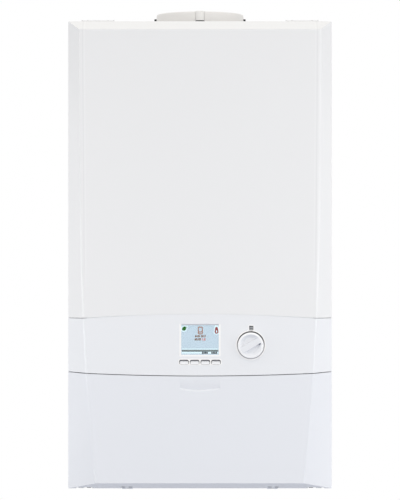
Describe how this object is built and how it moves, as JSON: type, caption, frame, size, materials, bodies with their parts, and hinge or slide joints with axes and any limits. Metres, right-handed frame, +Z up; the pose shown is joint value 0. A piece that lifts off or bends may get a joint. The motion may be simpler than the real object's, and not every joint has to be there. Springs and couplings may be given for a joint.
{
  "type": "system boiler",
  "caption": "Wall-hung gas system boiler with bevelled white casing, display, knob and push buttons, drop-down flap, hinged control box and lift-off front over its works.",
  "frame": {"origin": "on the wall, midway between the two wall fixings", "axes": "+X to the viewer's right, the front faces -Y, +Y into the wall, +Z up"},
  "size_m": [0.395, 0.283, 0.7261],
  "materials": {
    "casing_white": "fine powder coat, satin",
    "moulding_white": "moulded, satin gloss",
    "galvanised": "zinc coated, faint spangle",
    "housing_grey": "moulded, fine texture",
    "cover_grey": "moulded, fine texture",
    "display_glass": "clear, polished",
    "display_lcd": "lit liquid crystal",
    "board_green": "solder mask",
    "component_black": "moulded",
    "rubber_black": "matt",
    "copper": "drawn copper tube",
    "brass": "machined",
    "cast_alloy": "die cast",
    "stainless": "rolled sheet",
    "turret_grey": "moulded",
    "screw_black": "blackened",
    "ceramic": "glazed sleeve",
    "vessel_red": "enamel",
    "motor_black": "painted casting",
    "pump_grey": "painted casting",
    "cap_red": "moulded",
    "trap_white": "moulded"
  },
  "bodies": {
    "chassis": {"wall_bracket": "galvanised", "back_panel": "galvanised", "side_panel_left": "casing_white", "side_panel_right": "casing_white", "top_panel": "casing_white", "bottom_tray": "galvanised", "front_cross_rail": "galvanised", "top_clips": "casing_white", "casing_seal": "rubber_black", "control_box_pivots": "galvanised", "flue_turret": "turret_grey", "flue_turret_screws": "screw_black", "flue_test_plug": "turret_grey", "flue_duct": "stainless", "heat_exchanger": "cast_alloy", "burner_door": "cast_alloy", "burner_door_seal": "rubber_black", "burner": "stainless", "burner_door_nuts": "galvanised", "burner_electrodes": "ceramic", "spark_generator": "component_black", "ignition_lead": "rubber_black", "fan_housing": "cast_alloy", "fan_motor": "motor_black", "venturi": "cast_alloy", "gas_valve": "cast_alloy", "gas_inlet_pipe": "copper", "gas_feed_pipe": "copper", "expansion_vessel": "vessel_red", "vessel_pipe": "copper", "pump_body": "pump_grey", "pump_motor": "motor_black", "return_pipe": "copper", "flow_pipe": "copper", "flow_manifold": "brass", "relief_valve": "brass", "air_vent": "brass", "condensate_hose": "rubber_black", "condensate_trap": "trap_white", "pipe_tails": "copper", "bulkhead_unions": "brass"},
    "front_casing": {"front_panel": "casing_white"},
    "control_box": {"control_fascia": "moulding_white", "control_box_housing": "housing_grey", "display_window": "display_glass", "display_module": "display_lcd", "control_board": "board_green", "knob_encoder": "component_black", "button_switches": "component_black", "terminal_cover": "cover_grey", "flap_hinge_pins": "galvanised"},
    "flap": {"lower_flap": "moulding_white"},
    "knob": {"temperature_knob": "moulding_white"},
    "button_1": {"button_1": "moulding_white"},
    "button_2": {"button_2": "moulding_white"},
    "button_3": {"button_3": "moulding_white"},
    "button_4": {"button_4": "moulding_white"},
    "fan_rotor": {"fan_impeller": "cast_alloy"},
    "relief_cap": {"relief_valve_cap": "cap_red"}
  },
  "joints": [
    {"name": "front_panel_slide", "type": "slide", "parent": "chassis", "child": "front_casing", "axis": [0, -1, 0], "range_m": [0, 0.3]},
    {"name": "control_box_swing", "type": "hinge", "parent": "chassis", "child": "control_box", "pos_m": [0, -0.196, -0.639], "axis": [1, 0, 0], "range_deg": [0, 90]},
    {"name": "flap_swing", "type": "hinge", "parent": "control_box", "child": "flap", "pos_m": [0, -0.212, -0.6395], "axis": [1, 0, 0], "range_deg": [0, 90]},
    {"name": "knob_turn", "type": "hinge", "parent": "control_box", "child": "knob", "pos_m": [0.0754, -0.278, -0.4248], "axis": [0, 1, 0], "range_deg": [-195, 75]},
    {"name": "button_1_press", "type": "slide", "parent": "control_box", "child": "button_1", "axis": [0, 1, 0], "range_m": [0, 0.0012], "stiffness_N_per_m": 900},
    {"name": "button_2_press", "type": "slide", "parent": "control_box", "child": "button_2", "axis": [0, 1, 0], "range_m": [0, 0.0012], "stiffness_N_per_m": 900},
    {"name": "button_3_press", "type": "slide", "parent": "control_box", "child": "button_3", "axis": [0, 1, 0], "range_m": [0, 0.0012], "stiffness_N_per_m": 900},
    {"name": "button_4_press", "type": "slide", "parent": "control_box", "child": "button_4", "axis": [0, 1, 0], "range_m": [0, 0.0012], "stiffness_N_per_m": 900},
    {"name": "fan_spin", "type": "hinge", "parent": "chassis", "child": "fan_rotor", "pos_m": [-0.118, -0.22, -0.17], "axis": [0, 1, 0], "continuous": true},
    {"name": "relief_cap_turn", "type": "hinge", "parent": "chassis", "child": "relief_cap", "pos_m": [-0.062, -0.155, -0.56], "axis": [0, 1, 0], "range_deg": [0, 90]}
  ]
}
